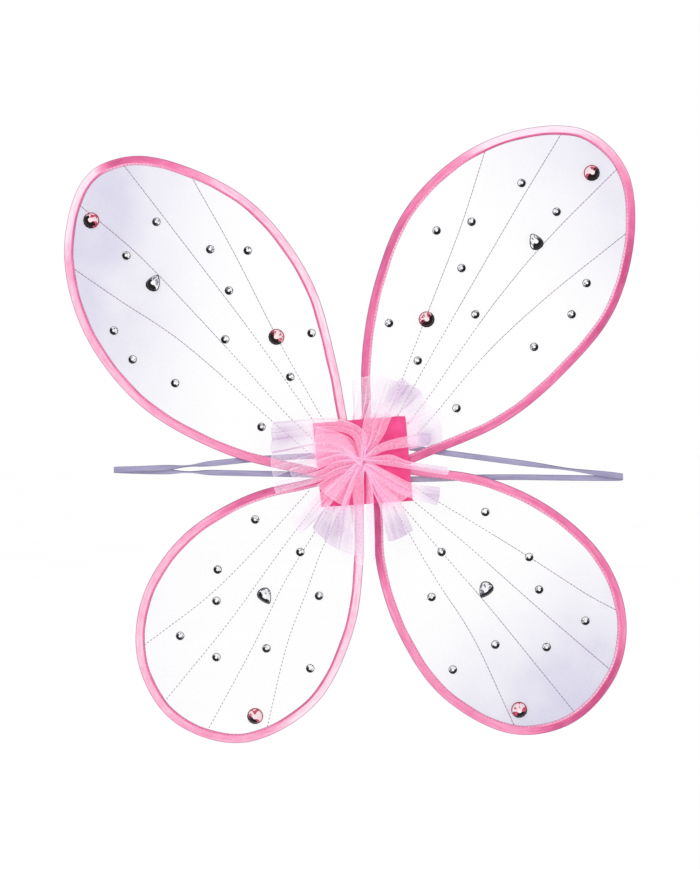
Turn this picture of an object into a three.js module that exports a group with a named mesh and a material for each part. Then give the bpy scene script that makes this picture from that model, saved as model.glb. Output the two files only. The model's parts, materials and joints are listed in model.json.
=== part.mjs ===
// Fairy wings: four wire-framed organza wings on a small fabric pad, with a rosette of organza
// strips in front and two elastic shoulder loops behind.
// Millimetres, +Z up, upright as worn. The front, with the rosette, faces -Y. "Left" is -X.
// The origin is the middle of the back pad's back face, which rests against the wearer's back.
import * as THREE from 'three';

// ---- Driving dimensions ----
const PAD_THICKNESS = 2;
const STRAP_THICKNESS = 1;
const STRAP_WIDTH = 4.6;
const WIRE_RADIUS = 0.7;
const BINDING_WIDTH = 7.4;
const BINDING_WALL = 0.5;
const BINDING_BEVEL = 0.4;      // the folded ribbon's depth at its edges, beyond its lips' inside
const BINDING_SHOULDER = 1.1;   // how far in from its outer edge the ribbon reaches its full depth
const MEMBRANE_THICKNESS = 0.4;
const MEMBRANE_INSET = 0.8;     // from the rim's middle line in to the membrane's edge
const VEIN_WIDTH = 1.2;
const VEIN_THICKNESS = 0.3;
const PINK_GEM_RADIUS = 6.5;
const PINK_GEM_HEIGHT = 5;
const TEARDROP_RADIUS = 5.2;
const TEARDROP_LENGTH = 14;
const TEARDROP_HEIGHT = 3.5;
const STRIP_THICKNESS = 0.5;
const STRIP_PITCH = 1;
const STRIP_WAIST = 12;
const STRIP_RISE = 6;
const KNOT_RADIUS = 3;
const KNOT_HEIGHT = 2;
const TAIL_DEPTH = 0.6;         // how far in the wire's tail bends, as a share of the way to x = z = 0
const TAIL_START = 0.1;         // how far in from the rim's ends the tail starts, towards its bend
const GAP = 0.3;

const RIM_STEPS = 40;
const VEIN_STEPS = 10;
const STRAP_STEPS = 76;
const TAIL_STEPS = 12;
const STRIP_STEPS = 14;
const STRIP_COLUMNS = 4;
const WIRE_SIDES = 8;
const GEM_SIDES = 12;
const KNOT_SIDES = 12;

// Where each layer lies in depth, back to front, with the back pad's back face at y = 0. The front
// pad and the gems are placed by their back faces, and every other layer by its middle.
const STRAP_Y = -(PAD_THICKNESS + GAP + STRAP_THICKNESS / 2);
const BINDING_HALF = WIRE_RADIUS + GAP + BINDING_WALL;
const WING_Y = STRAP_Y - STRAP_THICKNESS / 2 - GAP - BINDING_HALF;
const FRONT_PAD_Y = WING_Y - BINDING_HALF - GAP;
const VEIN_Y = WING_Y - MEMBRANE_THICKNESS / 2 - GAP - VEIN_THICKNESS / 2;
const GEM_Y = VEIN_Y - VEIN_THICKNESS / 2 - GAP;
const STRIP_Y = FRONT_PAD_Y - PAD_THICKNESS - GAP - STRIP_THICKNESS / 2;
const WIRE_OFFSET = BINDING_WIDTH / 2 - BINDING_WALL - GAP - WIRE_RADIUS;

// The pad's outline, anticlockwise from the front, as [x, z].
const PAD = [[-41, 31], [-38, -3], [-34, -36], [39, -31], [33, 37]];

// Each wing: its rim's middle line from pad to pad, anticlockwise from the front, with the wing's
// veins from tip to root and its gems, all as [x, z]. A teardrop's last value is where it points.
const WINGS = {
  upper_left: {
    rim: [[-17, 33], [-26, 80], [-46, 145], [-90, 203], [-141, 232], [-185, 241], [-219, 227],
      [-236, 174], [-223, 110], [-179, 50], [-112, 11], [-41, -8]],
    veins: [
      [[-227, 151], [-195, 129], [-147, 97], [-66, 26], [-45, 8]],
      [[-221, 200], [-183, 168], [-116, 98], [-56, 32], [-45, 22]],
      [[-188, 232], [-148, 180], [-83, 94], [-42, 35]],
      [[-134, 221], [-106, 171], [-66, 93], [-34, 36]],
    ],
    pink: [[-218, 193], [-70, 100]],
    teardrop: [-168, 142, 62],
  },
  upper_right: {
    rim: [[36, 2], [111, 35], [158, 74], [197, 123], [213, 185], [206, 234], [176, 262],
      [130, 263], [80, 243], [36, 200], [12, 142], [2, 85], [2, 34]],
    veins: [
      [[95, 243], [78, 190], [52, 122], [31, 67], [21, 40]],
      [[152, 253], [126, 210], [79, 129], [43, 66], [30, 42]],
      [[199, 231], [144, 175], [102, 124], [53, 54], [41, 38]],
      [[206, 180], [144, 130], [98, 87], [53, 34], [40, 20]],
    ],
    pink: [[182, 231], [50, 114]],
    teardrop: [137, 175, 118],
  },
  lower_left: {
    rim: [[-38, -16], [-92, -30], [-144, -63], [-174, -110], [-177, -160], [-151, -204], [-98, -221],
      [-42, -192], [-12, -134], [-4, -75], [-4, -37]],
    veins: [
      [[-171, -143], [-123, -106], [-82, -65], [-52, -32], [-44, -23]],
      [[-155, -186], [-108, -128], [-69, -74], [-54, -54], [-39, -35]],
      [[-122, -209], [-88, -146], [-63, -95], [-43, -62], [-30, -40]],
      [[-76, -206], [-61, -144], [-43, -96], [-37, -78], [-20, -41]],
    ],
    pink: [[-87, -203]],
    teardrop: [-79, -106, 300],
  },
  lower_right: {
    rim: [[11, -37], [14, -84], [31, -136], [65, -185], [120, -214], [166, -205], [199, -168],
      [206, -125], [190, -80], [150, -41], [97, -16], [41, -7]],
    veins: [
      [[199, -117], [182, -108], [132, -76], [90, -50], [58, -31], [44, -22]],
      [[192, -162], [135, -113], [82, -66], [43, -34]],
      [[165, -196], [95, -110], [62, -72], [33, -38]],
      [[118, -206], [86, -138], [57, -93], [25, -38]],
    ],
    pink: [[124, -198]],
    teardrop: [97, -101, 240],
  },
};

// The rosette's strips, back to front: each end's direction in degrees from +X, reach and width.
const STRIPS = [
  [[48, 64, 30], [255, 76, 34]],
  [[93, 69, 34], [296, 66, 24]],
  [[167, 74, 38], [358, 66, 26]],
  [[25, 64, 30], [224, 74, 20]],
  [[64, 72, 18], [266, 79, 20]],
  [[112, 45, 22], [336, 62, 14]],
];

// The shoulder loops, from the upper sewn end out to the fold and back to the lower sewn end.
// x, z are the strand's middle; y is how far the loop stands behind its sewn ends.
const STRAPS = {
  left: [[-34, 0, 5], [-60, 0, 4], [-90, 0.2, 2], [-120, 0.8, -1], [-150, 1.6, -4],
    [-180, 2.4, -5.5], [-197, 2.8, -6], [-200.6, 4.4, -6.4], [-197, 6, -6.8], [-180, 5.6, -7.4],
    [-150, 4.2, -8], [-120, 2.4, -8.6], [-90, 0.8, -9.2], [-60, 0, -9.8], [-34, 0, -10.4]],
  right: [[34, 0, 12], [60, 0, 8], [90, 0.2, 4], [120, 0.8, 0], [150, 1.6, -4],
    [180, 2.4, -8], [204, 2.8, -11], [207.6, 4.4, -12], [204, 6, -13], [180, 5.6, -13],
    [150, 4.2, -12.6], [120, 2.4, -12.2], [90, 0.8, -12.4], [60, 0, -13.4], [34, 0, -14]],
};

// ---- Materials ----
const hotPink = () => new THREE.MeshStandardMaterial({ color: 0xf75896, roughness: 0.9 });
const satin = () => new THREE.MeshStandardMaterial({ color: 0xf08cba, roughness: 0.35 });
const steel = () => new THREE.MeshStandardMaterial({ color: 0xb8b8bc, roughness: 0.4, metalness: 1 });
const sheer = () => new THREE.MeshStandardMaterial({ color: 0xf3eefa, roughness: 0.5 });
const petal = () => new THREE.MeshStandardMaterial({ color: 0xf8e4f2, roughness: 0.45 });
const thread = () => new THREE.MeshStandardMaterial({ color: 0xb888b0, roughness: 0.7 });
const elastic = () => new THREE.MeshStandardMaterial({ color: 0x9e96be, roughness: 0.8 });
const pinkGlass = () => new THREE.MeshStandardMaterial({ color: 0xd86a98, roughness: 0.1 });
const clearGlass = () => new THREE.MeshStandardMaterial({ color: 0xe8ecf2, roughness: 0.05 });

const wings = new THREE.Group();

function addPiece(name, geometry, material) {
  const mesh = new THREE.Mesh(geometry, material);
  mesh.name = name;
  wings.add(mesh);
  return mesh;
}

function curveAt(points, y) {
  const places = points.map(([x, z]) => new THREE.Vector3(x, y, z));
  return new THREE.CatmullRomCurve3(places, false, 'centripetal');
}

function polygon(points) {
  return new THREE.Shape(points.map(([a, b]) => new THREE.Vector2(a, b)));
}

// A section's first axis points to the front and its second to the right of the path, which is
// outwards on an anticlockwise rim.
function sweep(section, path, steps) {
  return new THREE.ExtrudeGeometry(section, { steps, extrudePath: path, bevelEnabled: false });
}

function ribbonSection(thickness, width) {
  const [a, b] = [thickness / 2, width / 2];
  return polygon([[-a, -b], [a, -b], [a, b], [-a, b]]);
}

function roundSection(radius, offset) {
  const points = [];
  for (let i = 0; i < WIRE_SIDES; i += 1) {
    const turn = (i + 0.5) * 2 * Math.PI / WIRE_SIDES;
    points.push([radius * Math.cos(turn), offset + radius * Math.sin(turn)]);
  }
  return polygon(points);
}

// A flat panel whose outline is drawn in x and z, lying from y to y + depth.
function panel(outline, y, depth) {
  const geometry = new THREE.ExtrudeGeometry(polygon(outline), { depth, bevelEnabled: false });
  geometry.rotateX(Math.PI / 2);
  geometry.translate(0, y + depth, 0);
  return geometry;
}

// ---- Wings ----

// Satin ribbon folded over the wire and the membrane's edge: a U whose mouth is inwards.
function bindingSection() {
  const edge = BINDING_WIDTH / 2;
  const shoulder = edge - BINDING_SHOULDER;
  const lip = MEMBRANE_THICKNESS / 2 + GAP;
  const corner = lip + BINDING_BEVEL;
  const hollow = BINDING_HALF - BINDING_WALL;
  const front = [[corner, -edge], [BINDING_HALF, 0], [BINDING_HALF, shoulder], [corner, edge]];
  const inside = [[hollow, edge - BINDING_WALL - GAP], [hollow, 0], [lip, -edge]];
  const mirror = (points) => points.map(([a, b]) => [-a, b]).reverse();
  return polygon([...front, ...mirror(front), ...mirror(inside), ...inside]);
}

function membraneOutline(rim) {
  const { binormals } = rim.computeFrenetFrames(RIM_STEPS, false);
  return rim.getSpacedPoints(RIM_STEPS).map((p, i) => {
    const q = p.clone().addScaledVector(binormals[i], -MEMBRANE_INSET);
    return [q.x, q.z];
  });
}

// The wire's two ends run on under the pad and meet in a bend near its middle.
function wireTail(rim) {
  const [first, last] = [rim[0], rim.at(-1)].map(([x, z]) => new THREE.Vector3(x, WING_Y, z));
  const bend = first.clone().add(last).multiplyScalar((1 - TAIL_DEPTH) / 2).setY(WING_Y);
  first.lerp(bend, TAIL_START);
  last.lerp(bend, TAIL_START);
  const path = new THREE.CatmullRomCurve3([first, bend, last], false, 'centripetal');
  return sweep(roundSection(WIRE_RADIUS, 0), path, TAIL_STEPS);
}

// A turned solid whose profile is [radius, how far forward].
function turned(profile, sides) {
  const geometry = new THREE.LatheGeometry(profile.map(([a, b]) => new THREE.Vector2(a, b)), sides);
  return geometry.rotateX(Math.PI);
}

function pinkGem() {
  const [r, h] = [PINK_GEM_RADIUS, PINK_GEM_HEIGHT];
  const profile = [[0, 0], [r * 0.97, 0], [r, h * 0.2], [r * 0.72, h * 0.75], [r * 0.4, h], [0, h]];
  return turned(profile, GEM_SIDES);
}

function teardropGem() {
  const r = TEARDROP_RADIUS;
  const tip = TEARDROP_LENGTH - r;
  const outline = new THREE.Shape();
  const touch = Math.acos(r / tip);
  outline.absarc(0, 0, r, Math.PI / 2 + touch, Math.PI / 2 - touch + 2 * Math.PI, false);
  outline.lineTo(0, tip);
  const bevel = 1.4;
  const geometry = new THREE.ExtrudeGeometry(outline, {
    depth: TEARDROP_HEIGHT - bevel, curveSegments: 14, bevelSegments: 1, bevelSize: bevel,
    bevelThickness: bevel, bevelOffset: -bevel,
  });
  geometry.computeBoundingBox();
  geometry.translate(0, 0, -geometry.boundingBox.min.z);
  return geometry;
}

function addGems(name, wing) {
  wing.pink.forEach(([x, z], i) => {
    addPiece(`${name}_pink_gem_${i + 1}`, pinkGem(), pinkGlass()).position.set(x, GEM_Y, z);
  });
  const [x, z, pointing] = wing.teardrop;
  const gem = addPiece(`${name}_teardrop_gem`, teardropGem(), clearGlass());
  gem.position.set(x, GEM_Y, z);
  gem.rotation.set(Math.PI / 2, 0, 0);
  gem.rotateZ(THREE.MathUtils.degToRad(pointing - 90));
}

function addWing(name, wing) {
  const rim = curveAt(wing.rim, WING_Y);
  addPiece(`${name}_wire`, sweep(roundSection(WIRE_RADIUS, WIRE_OFFSET), rim, RIM_STEPS), steel());
  addPiece(`${name}_binding`, sweep(bindingSection(), rim, RIM_STEPS), satin());
  const back = WING_Y - MEMBRANE_THICKNESS / 2;
  addPiece(`${name}_membrane`, panel(membraneOutline(rim), back, MEMBRANE_THICKNESS), sheer());
  addPiece(`${name}_wire_tail`, wireTail(wing.rim), steel());
  wing.veins.forEach((points, i) => {
    const section = ribbonSection(VEIN_THICKNESS, VEIN_WIDTH);
    addPiece(`${name}_vein_${i + 1}`, sweep(section, curveAt(points, VEIN_Y), VEIN_STEPS), thread());
  });
  addGems(name, wing);
}

// ---- Pad, rosette and straps ----
function addPads() {
  addPiece('back_pad', panel(PAD, -PAD_THICKNESS, PAD_THICKNESS), hotPink());
  addPiece('front_pad', panel(PAD, FRONT_PAD_Y - PAD_THICKNESS, PAD_THICKNESS), hotPink());
}

// A strip gathered at its middle: it runs through the middle of the pad from one end to the other,
// widens outwards and lifts off the pad towards its ends.
function rosetteStrip([first, last], y) {
  const ends = [first, last].map(([angle, reach]) => {
    const turn = THREE.MathUtils.degToRad(angle);
    return new THREE.Vector3(reach * Math.cos(turn), 0, reach * Math.sin(turn));
  });
  const bend = ends[0].clone().add(ends[1]).multiplyScalar(-0.5);
  const path = new THREE.QuadraticBezierCurve3(ends[0], bend, ends[1]);
  const geometry = new THREE.BoxGeometry(1, STRIP_THICKNESS, 1, STRIP_COLUMNS, 1, STRIP_STEPS);
  const place = geometry.attributes.position;
  for (let i = 0; i < place.count; i += 1) {
    const along = place.getZ(i) + 0.5;
    const spread = Math.abs(2 * along - 1);
    const endWidth = along < 0.5 ? first[2] : last[2];
    const width = STRIP_WAIST + (endWidth - STRIP_WAIST) * spread;
    const point = path.getPoint(along);
    const tangent = path.getTangent(along);
    const across = place.getX(i) * width;
    place.setXYZ(i, point.x + tangent.z * across,
      y + place.getY(i) - STRIP_RISE * spread ** 2, point.z - tangent.x * across);
  }
  return geometry;
}

function addRosette() {
  STRIPS.forEach((strip, i) => {
    addPiece(`rosette_strip_${i + 1}`, rosetteStrip(strip, STRIP_Y - i * STRIP_PITCH), petal());
  });
  const [r, h] = [KNOT_RADIUS, KNOT_HEIGHT];
  const profile = [[0, 0], [r, 0], [r * 0.8, h * 0.7], [0, h]];
  const topStrip = STRIP_Y - (STRIPS.length - 1) * STRIP_PITCH;
  const knot = addPiece('rosette_stitch', turned(profile, KNOT_SIDES), thread());
  knot.position.y = topStrip - STRIP_THICKNESS / 2 - GAP;
}

// A flat elastic band whose width stays upright all the way round its loop.
function strapBand(route) {
  const places = route.map(([x, y, z]) => new THREE.Vector3(x, STRAP_Y + y, z));
  const path = new THREE.CatmullRomCurve3(places, false, 'centripetal');
  const geometry = new THREE.BoxGeometry(STRAP_THICKNESS, STRAP_WIDTH, 1, 1, 1, STRAP_STEPS);
  const place = geometry.attributes.position;
  for (let i = 0; i < place.count; i += 1) {
    const along = place.getZ(i) + 0.5;
    const tangent = path.getTangentAt(along);
    const through = new THREE.Vector3(tangent.y, -tangent.x, 0).normalize();
    const upright = new THREE.Vector3().crossVectors(tangent, through);
    const point = path.getPointAt(along).addScaledVector(through, place.getX(i));
    point.addScaledVector(upright, place.getY(i));
    place.setXYZ(i, point.x, point.y, point.z);
  }
  return geometry;
}

function addStraps() {
  for (const [side, route] of Object.entries(STRAPS)) {
    addPiece(`${side}_elastic_strap`, strapBand(route), elastic());
  }
}

for (const [name, wing] of Object.entries(WINGS)) addWing(name, wing);
addPads();
addRosette();
addStraps();

export default wings;
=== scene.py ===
"""Fairy wings in Blender: four organza wings in satin bindings, a felt pad, an organza rosette,
stick-on gems and two elastic shoulder loops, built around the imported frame.
Metres, +Z up. The front faces -Y, so "height" below means how far something stands forward."""
import json
import random
from math import copysign, cos, dist, pi, radians, sin, sqrt

import bpy
import numpy as np
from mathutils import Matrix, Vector
from numpy.linalg import norm


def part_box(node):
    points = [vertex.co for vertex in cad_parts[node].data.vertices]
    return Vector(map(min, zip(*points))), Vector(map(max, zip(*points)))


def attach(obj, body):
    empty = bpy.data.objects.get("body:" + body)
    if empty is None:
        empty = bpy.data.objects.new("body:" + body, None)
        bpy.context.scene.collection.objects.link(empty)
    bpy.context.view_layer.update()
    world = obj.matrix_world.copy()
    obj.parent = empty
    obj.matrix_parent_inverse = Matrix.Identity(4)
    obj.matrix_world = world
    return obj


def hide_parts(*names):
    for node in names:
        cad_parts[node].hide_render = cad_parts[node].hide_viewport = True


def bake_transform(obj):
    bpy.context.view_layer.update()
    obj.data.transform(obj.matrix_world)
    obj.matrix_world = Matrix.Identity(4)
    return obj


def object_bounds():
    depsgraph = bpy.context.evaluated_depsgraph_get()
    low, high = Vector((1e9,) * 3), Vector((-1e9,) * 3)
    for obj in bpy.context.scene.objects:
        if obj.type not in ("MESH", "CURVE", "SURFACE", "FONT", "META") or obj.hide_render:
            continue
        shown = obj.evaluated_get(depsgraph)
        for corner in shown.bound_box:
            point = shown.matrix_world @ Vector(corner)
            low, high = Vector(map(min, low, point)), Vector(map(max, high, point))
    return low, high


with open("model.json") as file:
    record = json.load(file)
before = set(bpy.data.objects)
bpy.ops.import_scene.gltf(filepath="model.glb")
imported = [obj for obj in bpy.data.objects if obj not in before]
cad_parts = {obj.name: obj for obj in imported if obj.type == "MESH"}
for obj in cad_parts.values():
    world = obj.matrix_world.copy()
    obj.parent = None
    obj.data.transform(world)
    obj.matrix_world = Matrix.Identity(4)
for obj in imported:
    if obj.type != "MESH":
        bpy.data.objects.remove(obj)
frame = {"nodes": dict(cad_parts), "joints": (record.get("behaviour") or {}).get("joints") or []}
CAD_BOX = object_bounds()
scene = bpy.context.scene

# ---- Sizes ----
MM = 0.001
WINGS = ("upper_left", "upper_right", "lower_left", "lower_right")
UL, UR, LL, LR = WINGS
RIM_STATIONS = 420
UNDER_PAD = 8 * MM  # how far a wing's cloth runs on under the pad
MEMBRANE_TO_RIM = 0.8 * MM  # from the membrane's edge out to the binding's middle line
BEND_OUTSIDE = 8 * MM  # where it ends, outside that line
STITCH_RADIUS = 0.28 * MM
VEIN_PITCH = 3.1 * MM
VEIN_STITCH = 2.1 * MM
SEAM_PITCH = 3.0 * MM
SEAM_STITCH = 2.1 * MM
SEAM_OFFSET = -2.75 * MM  # from the binding's middle line in to its seam
SEAM_HEIGHT = 0.44 * MM  # how far the ribbon stands off the cloth there
SMALL_GEM_RADIUS = 3.5 * MM
SMALL_GEM_HEIGHT = 2.4 * MM

# The binding's folded section: [height, outwards] in mm, from its front inner edge over the wire's
# edge; the back half mirrors it.
BINDING_SECTION = [(0.3, -3.7), (0.45, -3.4), (0.5, -3.0), (0.42, -2.75), (0.55, -2.5), (0.7, -1.5),
                   (0.9, -0.5), (1.1, 0.4), (1.3, 1.3), (1.42, 2.1), (1.3, 2.8), (0.95, 3.3),
                   (0.45, 3.6), (0.0, 3.7)]
HALF_RIBBON = 3.7 * MM
LIP = 2.3 * MM  # how far in from the middle line the ribbon's lip starts

# The satin's painted sheen along each rim, from its first end round to its last: (share, paleness).
PAINTED_SHEEN = {
    UL: [(0, 0.85), (0.15, 0.9), (0.33, 0.75), (0.39, 0.3), (0.46, 0.15), (0.48, 0.95),
         (0.56, 0.95), (0.59, 0.65), (0.65, 0.75), (0.8, 0.65), (0.9, 0.5), (1, 0.35)],
    UR: [(0, 0.25), (0.2, 0.3), (0.28, 0.1), (0.36, 0), (0.42, 0.35), (0.5, 0.75), (0.54, 1),
         (0.63, 1), (0.67, 0.5), (0.73, 0.3), (0.8, 0.1), (0.88, 0.3), (1, 0.2)],
    LL: [(0, 0.2), (0.13, 0.2), (0.18, 0.65), (0.35, 0.8), (0.5, 0.7), (0.63, 0.6), (0.68, 0.95),
         (0.78, 0.85), (1, 0.85)],
    LR: [(0, 0.05), (0.07, 0.1), (0.12, 0.45), (0.35, 0.5), (0.4, 0.55), (0.44, 0.1), (0.56, 0.05),
         (0.6, 0.4), (0.7, 0.25), (0.85, 0.35), (1, 0.5)],
}

# Where each wing's cloth turns lavender: a direction (x, z), how many mm along it the tint starts,
# over how many more it grows, and how strong it gets.
TINTS = {UL: (-1, 0.15, 120, 115, 1.0), UR: (0.8, 0.6, 195, 95, 0.75),
         LL: (-1, 0, 110, 70, 0.25), LR: (0.55, -0.8, 126, 112, 1.1)}

# Towards where each wing's stones show their painted dark reflection, as (x, z).
DARK_REFLECTION_SIDES = {UL: (-0.8, -0.6), UR: (0.75, -0.65), LL: (-0.6, -0.8), LR: (0.35, -0.95)}

# Where each shoulder loop's front strand, or both strands, turn edge-on: (x, half the stretch, roll
# in degrees, both strands), in mm.
STRAP_TWISTS = {"left": (-141, 26, 78, True), "right": (163, 48, 68, False)}

# Where the small clear rhinestones are glued, in mm, as (x, z).
RHINESTONES = {
    UL: [(-166, 192), (-190, 165), (-123, 170), (-93, 169), (-108, 137), (-111, 98), (-42, 103),
         (-59, 68), (-200, 105), (-185, 82), (-151, 63), (-82, 28)],
    UR: [(126, 223), (154, 200), (86, 192), (58, 185), (78, 155), (178, 143), (166, 118), (136, 92),
         (89, 118), (20, 111), (43, 81), (74, 43)],
    LL: [(-87, -46), (-51, -72), (-117, -86), (-118, -111), (-36, -107), (-147, -139), (-118, -156),
         (-78, -149), (-43, -165)],
    LR: [(97, -40), (62, -72), (132, -76), (140, -102), (54, -108), (177, -127), (105, -146),
         (146, -148), (71, -166)],
}

# The shoulder loops' routes in mm: x, how far back of the sewn ends, z.
STRAPS = {
    "left": [(-34, 0, 5), (-60, 0, 4), (-90, 0.2, 2), (-120, 0.8, -1), (-150, 1.6, -4),
             (-180, 2.4, -5.5), (-197, 2.8, -6), (-200.6, 4.4, -6.4), (-197, 6, -6.8),
             (-180, 5.6, -7.4), (-150, 4.2, -8), (-120, 2.4, -8.6), (-90, 0.8, -9.2),
             (-60, 0, -9.8), (-34, 0, -10.4)],
    "right": [(34, 0, 12), (60, 0, 8), (90, 0.2, 4), (120, 0.8, 0), (150, 1.6, -4),
              (180, 2.4, -8), (204, 2.8, -11), (207.6, 4.4, -12), (204, 6, -13), (180, 5.6, -13),
              (150, 4.2, -12.6), (120, 2.4, -12.2), (90, 0.8, -12.4), (60, 0, -13.4), (34, 0, -14)],
}
STRAP_Y = -2.8 * MM
STRAP_WIDTH = 4.6 * MM
STRAP_THICKNESS = 1 * MM

# The rosette's petals, from the lowest to the one on top: the CAD strip it belongs to, the wing it
# lies over, its cut width and its folds, then its two edges from the gathered middle outwards as
# (x, z), all in mm. Back petals come out from behind the pad.
BACK_PETALS = [
    (1, UR, 32, 2, [(22, 5), (36, 10), (62, 15)], [(15, 17), (30, 28), (51, 45)]),
    (1, UR, 30, 2, [(19, 15), (29, 26), (51, 45)], [(10, 21), (17, 37), (31, 62)]),
    (2, UR, 42, 3, [(11, 20), (17, 38), (29, 63)], [(-6, 20), (-8, 38), (-10, 65)]),
    (2, LL, 64, 4, [(-20, -18), (-30, -34), (-41, -52)], [(-2, -20), (-2, -40), (-2, -76)]),
]
FRONT_PETALS = [
    (2, LR, 26, 1, [(5, -2), (20, -9), (39, -24)], [(3, -6), (10, -20), (20, -35)]),
    (5, LL, 30, 1, [(-5, -2), (-20, -8), (-38, -18)], [(-3, -6), (-8, -20), (-16, -35)]),
    (3, UL, 38, 1, [(-3, 5), (-12, 20), (-38, 29)], [(-5, -1), (-20, 0), (-38, -6)]),
    (4, LR, 36, 3, [(3, -6), (7, -22), (13, -38), (19, -63)],
     [(6, -5), (17, -19), (29, -32), (39, -54)]),
    (4, LL, 20, 2, [(-6, -2), (-17, -8), (-34, -23), (-57, -46)],
     [(-4, -5), (-18, -22), (-30, -38), (-50, -57)]),
    (5, LL, 11, 1, [(-4, -5), (-11, -18), (-19, -38), (-22, -58)],
     [(-2, -6), (-8, -19), (-13, -38), (-16, -56)]),
    (5, LR, 11, 1, [(1, -6), (2, -22), (2, -38), (4, -78)],
     [(3, -6), (6, -20), (8, -38), (8, -76)]),
    (5, LL, 13, 1, [(-4, -6), (-9, -22), (-8, -38), (-7, -80)],
     [(-1, -6), (0, -22), (0, -38), (0, -80)]),
    (3, UL, 22, 2, [(-5, 2), (-14, 9), (-31, 16), (-73, 8)],
     [(-6, 0), (-16, 5), (-33, 3), (-72, -12)]),
    (3, UL, 15, 1, [(-4, 4), (-10, 14), (-23, 23), (-73, 19)],
     [(-5, 2), (-13, 9), (-30, 15), (-73, 7)]),
    (6, UR, 17, 2, [(1, 7), (5, 20), (9, 37), (28, 66)], [(5, 6), (16, 22), (22, 36), (36, 62)]),
    (6, UR, 12, 1, [(3, 5), (13, 14), (32, 20), (52, 22)], [(5, 3), (17, 9), (35, 12), (52, 14)]),
    (2, UR, 12, 1, [(-1, 7), (-2, 20), (0, 34), (5, 48)], [(2, 7), (6, 18), (8, 33), (8, 46)]),
    (6, LR, 18, 2, [(5, 3), (21, 6), (36, 0), (66, -5)], [(6, -1), (27, -4), (46, -7), (66, -10)]),
    (3, UL, 12, 1, [(-5, 2), (-20, 6), (-40, 0), (-58, -5)],
     [(-6, 0), (-20, 1), (-37, -6), (-56, -13)]),
    (1, LR, 20, 2, [(5, 0), (22, -9), (39, -17), (60, -20)],
     [(4, -6), (18, -19), (36, -28), (57, -34)]),
    (4, LL, 19, 2, [(-5, 2), (-22, 1), (-37, -7), (-70, -16)],
     [(-5, -3), (-19, -9), (-37, -16), (-70, -25)]),
    (3, UL, 20, 2, [(0, 6), (2, 21), (-9, 31), (-31, 35), (-72, 32)],
     [(-4, 4), (-6, 13), (-12, 22), (-30, 24), (-73, 17)]),
]


# ---- Node helpers ----
THREAD_DEPTH = 0.1 * MM  # how far threads stand up out of a cloth


class Shader:
    """A material with a Principled shader, and short ways to add nodes to it."""

    def __init__(self, name, color, roughness, **sockets):
        self.material = bpy.data.materials.new(name)
        self.material.use_nodes = True
        self.tree = self.material.node_tree
        self.main = self.tree.nodes["Principled BSDF"]
        self.main.inputs["Base Color"].default_value = (*color, 1)
        self.main.inputs["Roughness"].default_value = roughness
        for socket, value in sockets.items():
            self.main.inputs[socket.replace("_", " ")].default_value = value

    def node(self, kind, **settings):
        made = self.tree.nodes.new(kind)
        for key, value in settings.items():
            if hasattr(made, key):
                setattr(made, key, value)
            else:
                made.inputs[key.replace("_", " ")].default_value = value
        return made

    def link(self, source, target):
        self.tree.links.new(source, target)

    def feed(self, socket, value):
        """Give a socket a number, a colour or another node's output."""
        if isinstance(value, (int, float)):
            socket.default_value = value
        elif isinstance(value, tuple):
            socket.default_value = (*value, 1)
        else:
            self.link(value, socket)

    def place(self, kind, scale=(1, 1, 1)):
        """Texture coordinates, "UV" or "Object", scaled along each axis."""
        where = self.node("ShaderNodeTexCoord")
        mapping = self.node("ShaderNodeMapping")
        mapping.inputs["Scale"].default_value = scale
        self.link(where.outputs[kind], mapping.inputs["Vector"])
        return mapping.outputs["Vector"]

    def noise(self, place, scale, detail=3.0):
        made = self.node("ShaderNodeTexNoise", Scale=scale, Detail=detail)
        self.link(place, made.inputs["Vector"])
        return made.outputs["Fac"]

    def ramp(self, value, stops):
        made = self.node("ShaderNodeValToRGB")
        elements = made.color_ramp.elements
        while len(elements) < len(stops):
            elements.new(0.5)
        for element, (position, color) in zip(elements, stops):
            element.position = position
            element.color = (*color, 1)
        self.link(value, made.inputs["Fac"])
        return made.outputs["Color"]

    def math(self, operation, first, second):
        made = self.node("ShaderNodeMath", operation=operation)
        self.feed(made.inputs[0], first)
        self.feed(made.inputs[1], second)
        return made.outputs["Value"]

    def mix(self, amount, first, second):
        made = self.node("ShaderNodeMix", data_type="RGBA")
        for number, value in ((0, amount), (6, first), (7, second)):
            self.feed(made.inputs[number], value)
        return made.outputs[2]

    def attribute(self, name, output="Fac"):
        return self.node("ShaderNodeAttribute", attribute_name=name).outputs[output]

    def weave(self, scale):
        """Crossing threads along the UVs, from 0 between them to 1 on them."""
        place = self.place("UV")
        waves = []
        for direction in ("X", "Y"):
            wave = self.node("ShaderNodeTexWave", bands_direction=direction, Scale=scale)
            self.link(place, wave.inputs["Vector"])
            waves.append(wave.outputs["Fac"])
        return self.math("MAXIMUM", *waves)

    def bump(self, height, strength, distance=THREAD_DEPTH):
        made = self.node("ShaderNodeBump", Strength=strength, Distance=distance)
        self.link(height, made.inputs["Height"])
        self.link(made.outputs["Normal"], self.main.inputs["Normal"])

    def color(self, source):
        self.link(source, self.main.inputs["Base Color"])


def srgb(red, green, blue):
    """The linear colour of an 8-bit screen colour."""
    shares = [value / 255 for value in (red, green, blue)]
    return tuple(s / 12.92 if s <= 0.04045 else ((s + 0.055) / 1.055) ** 2.4 for s in shares)


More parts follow.
